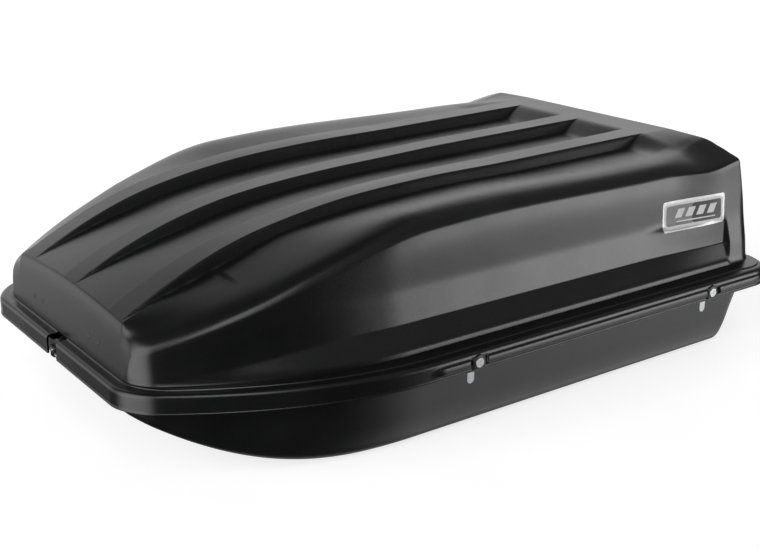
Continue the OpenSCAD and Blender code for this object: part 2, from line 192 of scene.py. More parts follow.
def apply_modifiers(obj):
    """Turns the mesh with its modifiers into plain mesh data."""
    graph = bpy.context.evaluated_depsgraph_get()
    finished = bpy.data.meshes.new_from_object(obj.evaluated_get(graph))
    obj.modifiers.clear()
    obj.data = finished


def box_solid(low, high):
    """A box between two corners in rim coordinates."""
    points = [[high[k] if i >> k & 1 else low[k] for k in range(3)] for i in range(8)]
    faces = [(0, 2, 3, 1), (4, 5, 7, 6), (0, 1, 5, 4), (2, 6, 7, 3), (0, 4, 6, 2), (1, 3, 7, 5)]
    return points, faces


def stacked_solid(outlines):
    """Closed solid through a stack of outlines with equal numbers of points."""
    n = len(outlines[0])
    points = [p for outline in outlines for p in outline]
    faces = [list(range(n))[::-1], [n * (len(outlines) - 1) + k for k in range(n)]]
    for r in range(len(outlines) - 1):
        for k in range(n):
            m = (k + 1) % n
            faces.append((r * n + k, r * n + m, r * n + n + m, r * n + n + k))
    return points, faces


def combine(obj, solids, operation):
    """Joins solids to a mesh or cuts them out of it."""
    points = []
    faces = []
    for solid_points, solid_faces in solids:
        faces += [[len(points) + i for i in face] for face in solid_faces]
        points += list(solid_points)
    tool = mesh_object("tool", points, faces, obj.data.materials[0], smooth=operation == "UNION")
    fix = bmesh.new()
    fix.from_mesh(tool.data)
    bmesh.ops.recalc_face_normals(fix, faces=fix.faces)
    fix.to_mesh(tool.data)
    fix.free()
    change = obj.modifiers.new("combine", "BOOLEAN")
    change.operation = operation
    change.solver = "EXACT"
    change.object = tool
    apply_modifiers(obj)
    bpy.data.objects.remove(tool)


def sharpen(obj, degrees):
    """Smooth shading everywhere but across edges sharper than this."""
    obj.data.set_sharp_from_angle(angle=math.radians(degrees))


# ---- stations along the box -----------------------------------------------------
LOCK_RUN = 21               # stations are close together this far before and behind a lock
CLOSEST_STATIONS = 0.0004   # two stations nearer than this become one


def station_fractions():
    """Places along the box as fractions of its length, closest where the shape turns fastest."""
    runs = [
        np.linspace(0, 0.003, 4),
        np.linspace(0.003, 0.022, 16),
        0.022 + 0.13 * np.linspace(0, 1, 26) ** 1.3,
        np.linspace(0.152, 0.86, 112),
        np.linspace(0.86, 0.925, 14),
        np.linspace(0.925, 0.952, 14),
        np.linspace(0.952, 1, 30),
        1 - 0.006 * np.linspace(0, 1, 5),
    ]
    for y in LOCK_YS:
        runs.append((y + np.linspace(-LOCK_RUN, LOCK_RUN, 29)) / LENGTH)
    every = np.unique(np.round(np.concatenate(runs), 6))
    keep = [0.0]
    for s in every[1:]:
        if s - keep[-1] > CLOSEST_STATIONS:
            keep.append(s)
    keep[-1] = 1.0
    return np.array(keep)


STATIONS = station_fractions()


def station_y(plan, inset=0.0):
    return mix(plan[0] + inset, plan[1] - inset, STATIONS)


# ---- a shell: an outside grid, an inside grid and rings around the rim ------------
def rim_ring(plan, inset, z, across):
    """Points round the rim: left side back to front, front, right side, rear."""
    inset = np.broadcast_to(np.asarray(inset, float), STATIONS.shape)
    y = station_y(plan, inset)
    half = half_width(plan, y, inset)
    height = np.full_like(y, z)
    inner = across[1:-1]
    left = np.stack([-half, y, height], 1)
    rear = np.stack([inner * half[-1], np.full_like(inner, y[-1]), np.full_like(inner, z)], 1)
    right = np.stack([half, y, height], 1)[::-1]
    front = np.stack([inner * half[0], np.full_like(inner, y[0]), np.full_like(inner, z)], 1)[::-1]
    return np.concatenate([left, rear, right, front])


def rim_ids(rows, cols):
    """Numbers of the grid points on the rim, in the order of rim_ring."""
    ids = [i * cols for i in range(rows)]
    ids += [(rows - 1) * cols + j for j in range(1, cols - 1)]
    ids += [i * cols + cols - 1 for i in range(rows - 1, -1, -1)]
    ids += list(range(cols - 2, 0, -1))
    return np.array(ids)


def grid_quads(rows, cols, start, up):
    quads = []
    for i in range(rows - 1):
        for j in range(cols - 1):
            a = start + i * cols + j
            quad = (a, a + 1, a + cols + 1, a + cols)
            quads.append(quad if up else quad[::-1])
    return quads


def shell_mesh(outside, inside, rings, up):
    """Closed mesh of two surfaces that are joined by loops of points round the rim."""
    rows, cols, _ = outside.shape
    rim = rim_ids(rows, cols)
    size = rows * cols
    points = np.concatenate([outside.reshape(-1, 3), inside.reshape(-1, 3)] + rings)
    loops = [rim]
    for r in range(len(rings)):
        loops.append(2 * size + r * len(rim) + np.arange(len(rim)))
    loops.append(rim + size)
    faces = grid_quads(rows, cols, 0, up) + grid_quads(rows, cols, size, not up)
    for one, two in zip(loops[:-1], loops[1:]):
        for k in range(len(rim)):
            n = (k + 1) % len(rim)
            quad = (one[k], one[n], two[n], two[k])
            faces.append(quad[::-1] if up else quad)
    return points, faces


# ---- lid form --------------------------------------------------------------------
ROOF_START = 28.0      # where the roof starts behind the fascia
NOSE_END = 880.0       # where the nose has risen to the height of the body
NOSE_RISE = 127.0
ROOF_HEIGHT = 251.5    # height of the rib tops over the body, before the roof's slight slope
ROOF_SLOPE = 0.02
RIB_START = 42.0
RIB_FULL = 270.0       # where a rib reaches its full height
RIB_RUN_OUT = 75.0     # length over which a rib fades at the rear


def nose(y):
    """0 at the front edge of the roof and 1 where the body starts."""
    return 1 - (1 - limit01((y - ROOF_START) / (NOSE_END - ROOF_START))) ** 4


def rib_top(y):
    return ROOF_HEIGHT - NOSE_RISE * (1 - nose(y)) + ROOF_SLOPE * (y - ROOF_START)


def rib_rise(y):
    """How far a rib stands above the roof beside it."""
    growing = np.sin(math.pi / 2 * limit01((y - RIB_START) / (RIB_FULL - RIB_START)))
    return RIB_HEIGHT * growing * (1 - ease(RIB_END - RIB_RUN_OUT, RIB_END, y))


def panel_top(y):
    """Height of the roof between the ribs."""
    return rib_top(y) - rib_rise(y)


def dish(x, y):
    """How much the outer ribs stand higher, and the middle one lower, half way along."""
    along = ease(300, 500, y) * (1 - ease(650, 850, y))
    return along * (5.5 * limit01(x / RIB_SPACING) ** 2 - 2.5)


def shoulder_drop(y):
    """How much lower the shoulder is where the nose widens into the body."""
    return 9 * (1 - ease(180, 520, y))


def shoulder_top(y):
    """Height of the roof where it starts to roll over to the side."""
    nose_sag = 1.45 * rib_rise(y) + 24 * (1 - ease(60, 300, y))
    body_sag = 3.5 + 12.5 * ease(620, 1140, y) - 16 * ease(1190, LENGTH - 36, y)
    return rib_top(y) - mix(nose_sag, body_sag, ease(220, 520, y)) - shoulder_drop(y)


def outer_foot_lift(y):
    """The roof outside the outer ribs lies a little higher than between the ribs."""
    return (9 * ease(200, 360, y) - 5 * ease(70, 170, y)) * (1 - ease(680, 900, y))


def nose_side(top):
    """Side of the lid at the nose, from the roof down to the ledge: (inset, height, rounding)."""
    tall = top - SKIRT
    return [(44, top + 8, 20), (26, top + 1, 12), (14, top - 6, 8), (9.5, top - 13, 6),
            (8, SKIRT + 0.75 * tall, 20), (6.5, SKIRT + 0.5 * tall, 20),
            (5.5, SKIRT + 0.35 * tall, 20), (4, SKIRT + 0.22 * tall, 20),
            (3.6, SKIRT + 0.18 * tall, 4), (2.6, SKIRT + 0.1 * tall, 4),
            (0.9, FOOT_Z + 1.5, 2), (0, FOOT_Z, 0)]


def body_side(top):
    """Side of the body: shoulder, panel, crease, band and the scoop below it."""
    return [(96, top - 1, 30), (66, top - 5, 24), (50, top - 13, 9), (42.5, top - 25, 4),
            (38.5, top - 52, 24), (36, 139, 12), (34, 127, 4), (25.4, 81.5, 1.2), (23.6, 79, 1),
            (5.5, 49, 5), (2, 44.5, 2.5), (0, FOOT_Z, 0)]


def scoop_end(top):
    """Side of the lid where the scoop along its lower half stops, just ahead of the rear post."""
    return body_side(top)[:5] + [(20, 139, 12), (19.5, 127, 4), (17, 81.5, 1.2), (15.6, 79, 1),
                                 (5, 49, 5), (2, 44.5, 2.5), (0, FOOT_Z, 0)]


def rear_side(top):
    """Side of the rear post, which has no scoop."""
    return [(121, top, 20), (106, top - 1, 14), (66, top - 14, 16), (25, top - 29, 5),
            (23, top - 75, 30), (18, 132, 16), (13, 102, 12), (8, 78, 6), (7.6, 76, 6),
            (3.5, 46, 9), (1.5, 38.6, 3), (0, FOOT_Z, 0)]


FIRST_SCOOP_NODE = 6


def lid_side(y):
    """Side of the lid at y. The scoop in its lower part stops sharply at the rear post."""
    top = shoulder_top(y)
    nose_end = np.array(nose_side(top))
    body = mix(nose_end, np.array(body_side(top)), ease(60, 420, y))
    rear = np.array(rear_side(top))
    side = mix(body, rear, ease(LENGTH - 250, LENGTH - 90, y))
    scooped = mix(body, np.array(scoop_end(top)), ease(LENGTH - 330, LENGTH - 110, y))
    lower = mix(scooped, rear, ease(LENGTH - 98, LENGTH - 85, y))
    side[FIRST_SCOOP_NODE:] = lower[FIRST_SCOOP_NODE:]
    return side


# Distances from the middle of a rib to the columns of the mesh, closest at its upper edge.
RIB_STEPS = np.array([0, 14, 22, 23.6, 24.4, 25.1, 25.8, 26.5, 27.2, 27.9, 28.7, 29.6, 31, 32.2, 33,
                      34.5, 38, 50, 68, 93])


def rib_share(from_middle, height_share):
    """1 on top of a rib and 0 beside it: a rounded upper edge, a straight wall and a crisp foot.
    The wall keeps its slope where the rib is low."""
    wall_width = (RIB_FOOT_HALF - RIB_TOP_HALF) * max(height_share, 0.1)
    wall = (RIB_TOP_HALF + wall_width - from_middle) / wall_width
    return limit01(smooth_min(np.ones_like(wall), wall, RIB_ROUND))


def roof_columns():
    """Distances from the centre line, and each one's distance from the middle of its rib."""
    middle = RIB_STEPS
    inner = RIB_SPACING - RIB_STEPS[::-1][1:]
    outer = RIB_SPACING + RIB_STEPS[(RIB_STEPS > 0) & (RIB_STEPS <= RIB_FOOT_HALF)]
    x = np.concatenate([middle, inner, outer])
    from_rib = np.where(x < RIB_SPACING / 2, x, np.abs(x - RIB_SPACING))
    return x, from_rib


ROOF_X, FROM_RIB = roof_columns()


CROWN = 9.0             # how much the nose's roof falls from the centre line to the outer ribs
FASCIA_SLOPE = 7.2      # rise over run of the front and rear faces
REAR_SLOPE = 4.4
FASCIA_ROUNDING = 24.0  # size of the rounding where those faces meet the roof
REAR_ROUNDING = 9.0


def lid_half_section(y, inset):
    """Half cross-section of the lid: rows of (x, z) from the centre line out to the ledge."""
    w = float(half_width(LID_PLAN, y)) - inset
    crown = CROWN * (1 - ease(60, 300, y))
    lift = np.where(ROOF_X > RIB_SPACING, outer_foot_lift(y), 0)
    share = rib_share(FROM_RIB, float(rib_rise(y)) / RIB_HEIGHT)
    roof_z = panel_top(y) + mix(lift, rib_rise(y) + dish(ROOF_X, y), share)
    roof_z -= crown * (ROOF_X / OUTER_FOOT) ** 2
    side = lid_side(y)
    squeeze = limit01((w - OUTER_FOOT - 2) / side[0, 0])
    nodes = [(ROOF_X[-1], roof_z[-1], 0)]
    nodes += [(w - d * squeeze, z, r * squeeze) for d, z, r in side]
    flank = rounded(nodes)
    return np.concatenate([np.stack([ROOF_X, roof_z], 1), flank])


def full_section(half):
    mirrored = half[:0:-1] * (-1, 1)
    return np.concatenate([mirrored, half])


def lid_grid(inset, drop, pull):
    """Grid of the lid's surface; pull moves the two ends in, drop lowers it."""
    rows = []
    for s, y in zip(STATIONS, station_y(LID_PLAN)):
        section = full_section(lid_half_section(y, inset))
        front = FOOT_Z + (y - LID_PLAN[0]) * FASCIA_SLOPE
        rear = FOOT_Z + (LID_PLAN[1] - y) * REAR_SLOPE
        taper = limit01((np.minimum(section[:, 1], min(front, rear)) - FOOT_Z) / 40)
        z = smooth_min(section[:, 1], front, FASCIA_ROUNDING * taper)
        z = smooth_min(z, rear, REAR_ROUNDING * taper)
        z = np.maximum(z, FOOT_Z)
        rows.append(np.stack([section[:, 0], np.full_like(z, y + pull * (1 - 2 * s)), z - drop], 1))
    return np.array(rows)


POCKET_HALF = 15.5     # half length of the flat pocket round a lock
POCKET_EDGE = 4.0
BULGE_OUT = 4.5
BULGE_START = 467.0
BULGE_END = 12.0       # length of the bulge's front end


def pockets(y):
    """1 beside the locks, where the skirt is flat, and 0 elsewhere."""
    flat = np.zeros_like(y)
    for lock in LOCK_YS:
        flat = np.maximum(flat, 1 - ease(POCKET_HALF, POCKET_HALF + POCKET_EDGE, np.abs(y - lock)))
    return flat


def bulge(y):
    """How far the band along the skirt stands out."""
    along = ease(BULGE_START, BULGE_START + BULGE_END, y) * (1 - 0.5 * ease(LENGTH - 90, LENGTH - 30, y))
    return BULGE_OUT * along * (1 - pockets(y))


# The ledge: its inner strip and the small step down to its outer strip, as (inset, height).
LEDGE_RINGS = [
    (23, FOOT_Z), (21.4, FOOT_Z), (20.8, FOOT_Z - 0.25), (20.3, FOOT_Z - 0.8),
    (19.9, SKIRT + 0.6), (19.5, SKIRT + 0.1), (19, SKIRT),
]

# The skirt from the ledge down: (inset, height, share of the bulge).
SKIRT_RINGS = [
    (9.5, SKIRT, 0), (6, 33.8, 0), (3.2, 32.8, 0), (1.3, 30.8, 0), (0.3, 28.4, 0),
    (0, 26, 0), (0, 24.4, 0.06), (0, 23.2, 0.26), (0, 22, 0.54), (0, 20.6, 0.71), (0, 18, 0.79), (0, 12, 1),
    (0, 10.4, 0.93), (0, 8.9, 0.66), (0, 7.5, 0.25), (0, 6.4, 0.04), (0, 5.6, 0), (0, 3.4, 0),
    (-0.4, 2.7, 0), (-0.95, 2.1, 0), (-1, 0.9, 0), (-0.6, 0.1, 0), (0, 0, 0),
]


def lid_rings(across):
    """Loops from the foot of the lid over the ledge and down the skirt, then up its inside."""
    rings = []
    rear_squeeze = 1 - 0.62 * ease(0.93, 0.99, STATIONS)
    for inset, z in LEDGE_RINGS:
        rings.append(rim_ring(SKIRT_PLAN, inset * rear_squeeze, z, across))
    for inset, z, share in SKIRT_RINGS:
        out = share * bulge(station_y(SKIRT_PLAN))
        rings.append(rim_ring(SKIRT_PLAN, inset - out, z, across))
    for inset, z in ((WALL, 0), (WALL, SKIRT - WALL - 4), (WALL + 4, SKIRT - WALL)):
        rings.append(rim_ring(SKIRT_PLAN, inset, z, across))
    return rings


def across_share(grid):
    """Where each column meets the front edge, as a share of the half width there."""
    front = grid[0, :, 0]
    return front / front[-1]


BOSS_OUT = 3.4         # how far the pad round a lock stands out from the skirt
BOSS_HALF = 13.5
BOSS_BOTTOM = 3.0
BOSS_TOP = 28.0
BOSS_EDGE = 1.1


def boss_outline(inset):
    """Points (y, z) round a pad with a round top and small corners below, about the lock's y."""
    half = BOSS_HALF - inset
    arch_z = BOSS_TOP - BOSS_HALF
    corner = 3.0 - 0.5 * inset
    low = BOSS_BOTTOM + inset
    points = []
    for k in range(33):
        angle = math.pi * k / 32
        points.append((half * math.cos(angle), arch_z + half * math.sin(angle)))
    for middle, start in ((-half + corner, math.pi), (half - corner, 1.5 * math.pi)):
        for k in range(6):
            angle = start + math.pi / 2 * k / 5
            points.append((middle + corner * math.cos(angle), low + corner + corner * math.sin(angle)))
    return points


def lock_bosses():
    """A pad on the skirt round each lock, with a rounded front edge."""
    solids = []
    for lock in LOCK_YS:
        for side in (-1, 1):
            stack = []
            for inset, out in ((-0.7, -1.0), (-0.7, 0.05), (-0.2, 0.35), (0, 0.9), (0, BOSS_OUT - BOSS_EDGE),
                               (0.12, BOSS_OUT - 0.6), (0.35, BOSS_OUT - 0.3), (0.7, BOSS_OUT - 0.08),
                               (BOSS_EDGE, BOSS_OUT)):
                stack.append([(side * (HALF_WIDTH + out), lock + y, z) for y, z in boss_outline(inset)])
            solids.append(stacked_solid(stack))
    return solids


def lock_holes():
    """A round hole through the pad and the skirt at each lock."""
    solids = []
    for lock in LOCK_YS:
        for side in (-1, 1):
            stack = []
            for out in (-14, BOSS_OUT + 3):
                x = side * (HALF_WIDTH + out)
                ring = []
                for a in np.linspace(0, 2 * math.pi, 49)[:-1]:
                    y = lock + LOCK_HOLE_RADIUS * math.cos(a)
                    z = LOCK_Z + LOCK_HOLE_RADIUS * math.sin(a)
                    ring.append((x, y, z))
                stack.append(ring)
            solids.append(stacked_solid(stack))
    return solids


def build_lid(material):
    outside = lid_grid(0.0, 0.0, 0.0)
    inside = lid_grid(WALL, WALL, WALL)
    points, faces = shell_mesh(outside, inside, lid_rings(across_share(outside)), up=True)
    lid = mesh_object("lid_moulding", points, faces, material)
    combine(lid, lock_bosses(), "UNION")
    notch = box_solid((-NOTCH_HALF, -4, -1), (NOTCH_HALF, LID_NOTCH_DEPTH, SKIRT + 6))
    combine(lid, [notch] + lock_holes(), "DIFFERENCE")
    sharpen(lid, 42)
    return piece(lid, "lid", "shell_plastic", "lid_shell")


# ---- base form ---------------------------------------------------------------------
FLOOR_START = 385.0    # where the keel reaches the flat floor
NOSE_DEPTH = 18.0      # depth of the base at its front edge
BILGE_ROUNDING = 14.0
BASE_SIDE = [(72, 1.0), (56, 0.985), (42, 0.93), (32, 0.83), (24, 0.66), (14, 0.36), (5, 0.12), (0, 0)]
BEADS = (70, 160)      # distances of the stiffening beads from the centre line
BEAD_DEPTH = 4.0


def hull_depth(y):
    """Depth of the base below its rim: the keel, cut by the steep front and rear walls."""
    t = limit01((y - BASE_PLAN[0]) / (FLOOR_START - BASE_PLAN[0]))
    keel = NOSE_DEPTH + (BASE_DEPTH - NOSE_DEPTH) * (1 - (1 - t) ** 2)
    depth = smooth_min(keel, (y - BASE_PLAN[0]) * 12, 10)
    return max(smooth_min(depth, (BASE_PLAN[1] - y) * 2.9, 22 * limit01((BASE_PLAN[1] - y) / 12)), 0.0)


def bead_height(x, y):
    """Grooves pressed up into the floor from below, which stiffen it."""
    height = np.zeros_like(x)
    along = ease(FLOOR_START + 35, FLOOR_START + 75, y) * (1 - ease(LENGTH - 190, LENGTH - 150, y))
    for centre in BEADS:
        height = np.maximum(height, 1 - ramp(5, 13, 3, np.abs(x - centre)))
    return BEAD_DEPTH * along * height


def base_floor_x(edge):
    """Places across the floor out to its edge, and the same places where the floor is full width."""
    steps = np.array([-16, -13, -11.5, -10, -8, -6.5, -5, -2, 2, 5, 6.5, 8, 10, 11.5, 13, 16])
    x = np.concatenate([[0, 25], BEADS[0] + steps, [115], BEADS[1] + steps])
    outer = np.linspace(BEADS[1] + 16, max(edge, BEADS[1] + 17), 9)[1:-1]
    x = np.concatenate([x, outer])
    return x * min(1, edge / (BEADS[1] + 40)), x


def base_half_section(y, inset):
    w = float(half_width(BASE_PLAN, y)) - inset
    depth = float(hull_depth(y))
    bilge = mix(0.3, 1, ease(30, FLOOR_START, y))
    edge = w - BASE_SIDE[0][0] * bilge
    floor_x, bead_x = base_floor_x(edge)
    floor_z = bead_height(bead_x, y) - depth
    nodes = [(floor_x[-1], -depth, 0)]
    nodes += [(w - d * bilge, -depth * share, BILGE_ROUNDING * bilge) for d, share in BASE_SIDE]
    return np.concatenate([np.stack([floor_x, floor_z], 1), rounded(nodes)])


def base_grid(inset, lift, pull):
    rows = []
    for s, y in zip(STATIONS, station_y(BASE_PLAN)):
        section = full_section(base_half_section(y, inset))
        place_y = np.full(len(section), y + pull * (1 - 2 * s))
        rows.append(np.stack([section[:, 0], place_y, section[:, 1] + lift], 1))
    return np.array(rows)


FLANGE_INSET = 10.0
FLANGE_EDGE = 0.8      # rounding of the flange's edge
CAM_SLOT_HALF = 13.0
CAM_SLOT_DEPTH = 26.0


def build_base(material):
    outside = base_grid(0.0, 0.0, 0.0)
    inside = base_grid(WALL, WALL, WALL)
    across = across_share(outside)
    flange_top = FLANGE_Z + WALL
    rings = [
        rim_ring(BASE_PLAN, 0, FLANGE_Z - 3, across),
        rim_ring(BASE_PLAN, -0.9, FLANGE_Z - 0.9, across),
        rim_ring(BASE_PLAN, -3, FLANGE_Z, across),
        rim_ring(SKIRT_PLAN, FLANGE_INSET + FLANGE_EDGE, FLANGE_Z, across),
        rim_ring(SKIRT_PLAN, FLANGE_INSET, FLANGE_Z + FLANGE_EDGE, across),
        rim_ring(SKIRT_PLAN, FLANGE_INSET, flange_top - FLANGE_EDGE, across),
        rim_ring(SKIRT_PLAN, FLANGE_INSET + FLANGE_EDGE, flange_top, across),
        rim_ring(BASE_PLAN, WALL - 2, flange_top, across),
        rim_ring(BASE_PLAN, WALL, flange_top - 2, across),
    ]
    points, faces = shell_mesh(outside, inside, rings, up=False)
    base = mesh_object("base_moulding", points, faces, material)
    boxes = [box_solid((-NOTCH_HALF, -4, 1), (NOTCH_HALF, BASE_NOTCH_DEPTH, SKIRT - 3))]
    for y in LOCK_YS:
        for side in (-1, 1):
            near, far = sorted((side * (HALF_WIDTH - CAM_SLOT_DEPTH), side * (HALF_WIDTH + 4)))
            low = (near, y - CAM_SLOT_HALF, LOCK_Z)
            high = (far, y + CAM_SLOT_HALF, LOCK_Z + 20)
            boxes.append(box_solid(low, high))
    combine(base, boxes, "DIFFERENCE")
    sharpen(base, 45)
    return piece(base, "base", "shell_plastic", "base_shell")


# ---- seal ----------------------------------------------------------------------------
SEAL_INSET = 17.0
SEAL_BULB_HALF = 2.7


def build_seal(material):
    """A hollow bulb on two feet, swept round the flange from one side of the hinge to the other."""
    low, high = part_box("weather_seal")
    height = (high.z - low.z) * MM
    across = np.linspace(-1, 1, 41)
    flat = FLANGE_Z + WALL
    profile = []
    for k in range(9):
        angle = math.pi * k / 8
        bulb = (SEAL_INSET - SEAL_BULB_HALF * math.cos(angle), flat + 1.0 + (height - 1.0) * math.sin(angle))
        profile.append(bulb)
    outer_foot = [(SEAL_INSET - 3.4, flat + 0.1), (SEAL_INSET - 3.1, flat + 0.9)]
    inner_foot = [(SEAL_INSET + 3.1, flat + 0.9), (SEAL_INSET + 3.4, flat + 0.1)]
    profile = outer_foot + profile + inner_foot + [(SEAL_INSET, flat + 0.05)]
    loops = [rim_ring(SKIRT_PLAN, inset, z, across) for inset, z in profile]
    count = len(loops[0])
    rows = len(STATIONS)
    start = 2 * rows + len(across) - 2
    order = [(start + k) % count for k in range(count)]
    gap = NOTCH_HALF + 4
    order = [i for i in order if not (loops[0][i, 1] < 60 and abs(loops[0][i, 0]) < gap)]
    split = next(k for k, i in enumerate(order) if k and abs(i - order[k - 1]) not in (1, count - 1))
    order = order[split:] + order[:split]
    points = np.concatenate([[loop[i] for i in order] for loop in loops])
    n = len(order)
    turns = len(loops)
    faces = []
    for r in range(turns):
        for k in range(n - 1):
            a = r * n + k
            b = (r + 1) % turns * n + k
            faces.append((a, a + 1, b + 1, b))
    faces.append([r * n for r in range(turns)])
    faces.append([r * n + n - 1 for r in range(turns)][::-1])
    seal = mesh_object("bulb_seal", points, faces, material)
    sharpen(seal, 50)
    return piece(seal, "base", "seal_rubber", "weather_seal")


# ---- label -----------------------------------------------------------------------------
LABEL_Y = (1090.0, 1252.0)
LABEL_Z = (124.5, 184.0)


def side_x(y, z):
    """How far out the left side of the lid is at one place."""
    flank = lid_half_section(y, 0.0)[len(ROOF_X):]
    return float(np.interp(z, flank[::-1, 1], flank[::-1, 0]))


def label_patch(name, low, high, radius, lift, material, slant=0.0, steps=(24, 14)):
    """A thin print on the lid's left side. low and high are its corners as (along, up) in
    millimetres from the label's own lower front corner; slant leans its ends."""
    cols, rows = steps
    rise = np.linspace(0, 1, rows + 1)
    rise = (1 - np.cos(math.pi * rise)) / 2
    front = []
    for v in rise:
        up = mix(low[1], high[1], v)
        edge = min(up - low[1], high[1] - up)
        cut = float(corner_cut(radius, edge / radius)) if radius > 0 else 0.0
        lean = slant * (v - 0.5)
        for u in np.linspace(0, 1, cols + 1):
            along = mix(low[0] + cut, high[0] - cut, u) + lean
            y = LABEL_Y[0] + along
            z = LABEL_Z[0] + up
            front.append((side_x(y, z) + lift, y, z))
    front = np.array(front)
    back = front - (0.35, 0, 0)
    size = len(front)
    points = np.concatenate([front, back])
    faces = grid_quads(rows + 1, cols + 1, 0, True) + grid_quads(rows + 1, cols + 1, size, False)
    rim = rim_ids(rows + 1, cols + 1)
    for k in range(len(rim)):
        a = rim[k]
        b = rim[(k + 1) % len(rim)]
        faces.append((b, a, a + size, b + size))
    patch = mesh_object(name, points, faces, material)
    sharpen(patch, 40)
    return patch


def build_label(paint):
    long = LABEL_Y[1] - LABEL_Y[0]
    tall = LABEL_Z[1] - LABEL_Z[0]
    half = long * 0.48
    piece(label_patch("label_foil", (0, 0), (long, tall), 5, 0.5, paint["silver"], steps=(40, 16)),
          "lid", "label_foil", "side_label")
    prints = [
        label_patch("label_border", (5, 5), (long - 5, tall - 5), 9, 0.7, paint["white"], steps=(40, 20)),
        label_patch("label_field_grey", (10, 10), (half + 3, tall - 10), 5, 0.9, paint["grey"]),
        label_patch("label_field_black", (half, 10), (long - 10, tall - 10), 5, 0.95, paint["black"]),
    ]
    for k in range(4):
        start = 38 + 27 * k
        prints.append(label_patch(f"label_bar_{k + 1}", (start, 24), (start + 17, 42), 0, 1.15,
                                  paint["white"], slant=9.0, steps=(4, 6)))
    prints.append(label_patch("label_line", (38, 15.5), (136, 18), 0, 1.15, paint["white"], steps=(24, 2)))
    for print_ in prints:
        piece(print_, "lid", "label_foil")


# ---- materials ---------------------------------------------------------------------------
class Shader:
    """A short way to write a node tree."""

    def __init__(self, name):
        self.material = bpy.data.materials.new(name)
        self.material.use_nodes = True
        self.tree = self.material.node_tree
        self.principled = self.tree.nodes["Principled BSDF"]
        self.where = self.add("ShaderNodeTexCoord").outputs["Object"]

    def add(self, kind, **values):
        node = self.tree.nodes.new(kind)
        for key, value in values.items():
            if key in node.inputs:
                self.feed(value, node.inputs[key])
            else:
                setattr(node, key, value)
        return node

    def feed(self, value, socket):
        if isinstance(value, bpy.types.NodeSocket):
            self.tree.links.new(value, socket)
        else:
            socket.default_value = value

    def set(self, **values):
        for key, value in values.items():
            self.feed(value, self.principled.inputs[key.replace("_", " ")])

    def noise(self, scale, detail=3.0, stretch=(1, 1, 1)):
        mapping = self.add("ShaderNodeMapping", Vector=self.where)
        mapping.inputs["Scale"].default_value = stretch
        noise = self.add("ShaderNodeTexNoise", Vector=mapping.outputs[0], Scale=scale, Detail=detail)
        return noise.outputs["Fac"]

    def between(self, value, low, high, start=0.3, end=0.7):
        """Maps a value from start..end to low..high."""
        return self.add("ShaderNodeMapRange", Value=value, **{"From Min": start, "From Max": end,
                        "To Min": low, "To Max": high}).outputs[0]

    def blend(self, share, one, two):
        node = self.add("ShaderNodeMix", data_type="RGBA")
        self.feed(share, node.inputs["Factor"])
        self.feed(one, node.inputs[6])
        self.feed(two, node.inputs[7])
        return node.outputs[2]

    def bump(self, *layers):
        """Stacks (height, depth in metres) layers."""
        normal = None
        for height, depth in layers:
            node = self.add("ShaderNodeBump", Height=height, Distance=depth, Strength=1.0)
            if normal is not None:
                self.feed(normal, node.inputs["Normal"])
            normal = node.outputs["Normal"]
        self.feed(normal, self.principled.inputs["Normal"])


def grey(value, tint=0.0):
    return (value * (1 - tint), value, value * (1 + tint), 1.0)


def moulded_plastic():
    """Satin black thermoformed sheet: fine grain, slow waviness, scuffed edges."""
    m = Shader("moulded_black_plastic")
    cloud = m.noise(7, 2)
    grain = m.noise(1500, 2)
    fine = m.noise(5200, 1)
    edge = m.add("ShaderNodeNewGeometry").outputs["Pointiness"]
    worn = m.between(edge, 0.0, 1.0, 0.53, 0.6)
    base = m.blend(m.between(cloud, 0, 1), grey(0.0045, 0.03), grey(0.0075, 0.03))
    base = m.blend(m.between(worn, 0.0, 0.35, 0, 1), base, grey(0.045, 0.02))
    rough = m.add("ShaderNodeMath", operation="ADD")
    m.feed(m.between(cloud, 0.25, 0.29), rough.inputs[0])
    m.feed(m.between(grain, -0.03, 0.03), rough.inputs[1])
    m.set(Base_Color=base, Roughness=rough.outputs[0], IOR=1.5)
    m.bump((m.noise(6, 1), 0.0012), (grain, 0.00004), (fine, 0.000012))
    return m.material


def seal_rubber():
    m = Shader("seal_rubber")
    pores = m.noise(2500, 4)
    m.set(Base_Color=m.blend(m.between(pores, 0, 1), grey(0.006), grey(0.014)),
          Roughness=m.between(pores, 0.7, 0.9))
    m.bump((pores, 0.00012))
    return m.material


def label_print(name, colour, roughness, metallic=0.0):
    """Printed vinyl: almost flat colour with a faint orange peel and dust."""
    m = Shader(name)
    dust = m.noise(160, 4)
    m.set(Base_Color=m.blend(m.between(dust, 0, 1, 0.4, 0.75), grey(colour), grey(colour * 0.88 + 0.01)),
          Roughness=m.between(dust, roughness, roughness + 0.12), Metallic=metallic)
    m.bump((m.noise(900, 2), 0.00002))
    return m.material


def plated_metal(name, colour, roughness, spangle, tint=0.0):
    """Plated steel: cloudy crystals and brushed streaks."""
    m = Shader(name)
    cells = m.add("ShaderNodeTexVoronoi", Vector=m.where, Scale=spangle).outputs["Distance"]
    streaks = m.noise(420, 3, stretch=(1, 8, 8))
    colour_mix = m.blend(m.between(cells, 0, 1, 0.1, 0.6), grey(colour, tint), grey(colour * 0.78, tint))
    m.set(Base_Color=colour_mix, Metallic=1.0,
          Roughness=m.between(streaks, roughness, roughness + 0.16))
    m.bump((streaks, 0.00003), (cells, 0.00002))
    return m.material


def coated_steel(name, colour):
    """Black powder coat over steel."""
    m = Shader(name)
    peel = m.noise(1100, 3)
    m.set(Base_Color=m.blend(m.between(peel, 0, 1), grey(colour), grey(colour * 1.7)),
          Roughness=m.between(peel, 0.38, 0.55))
    m.bump((peel, 0.00008))
    return m.material


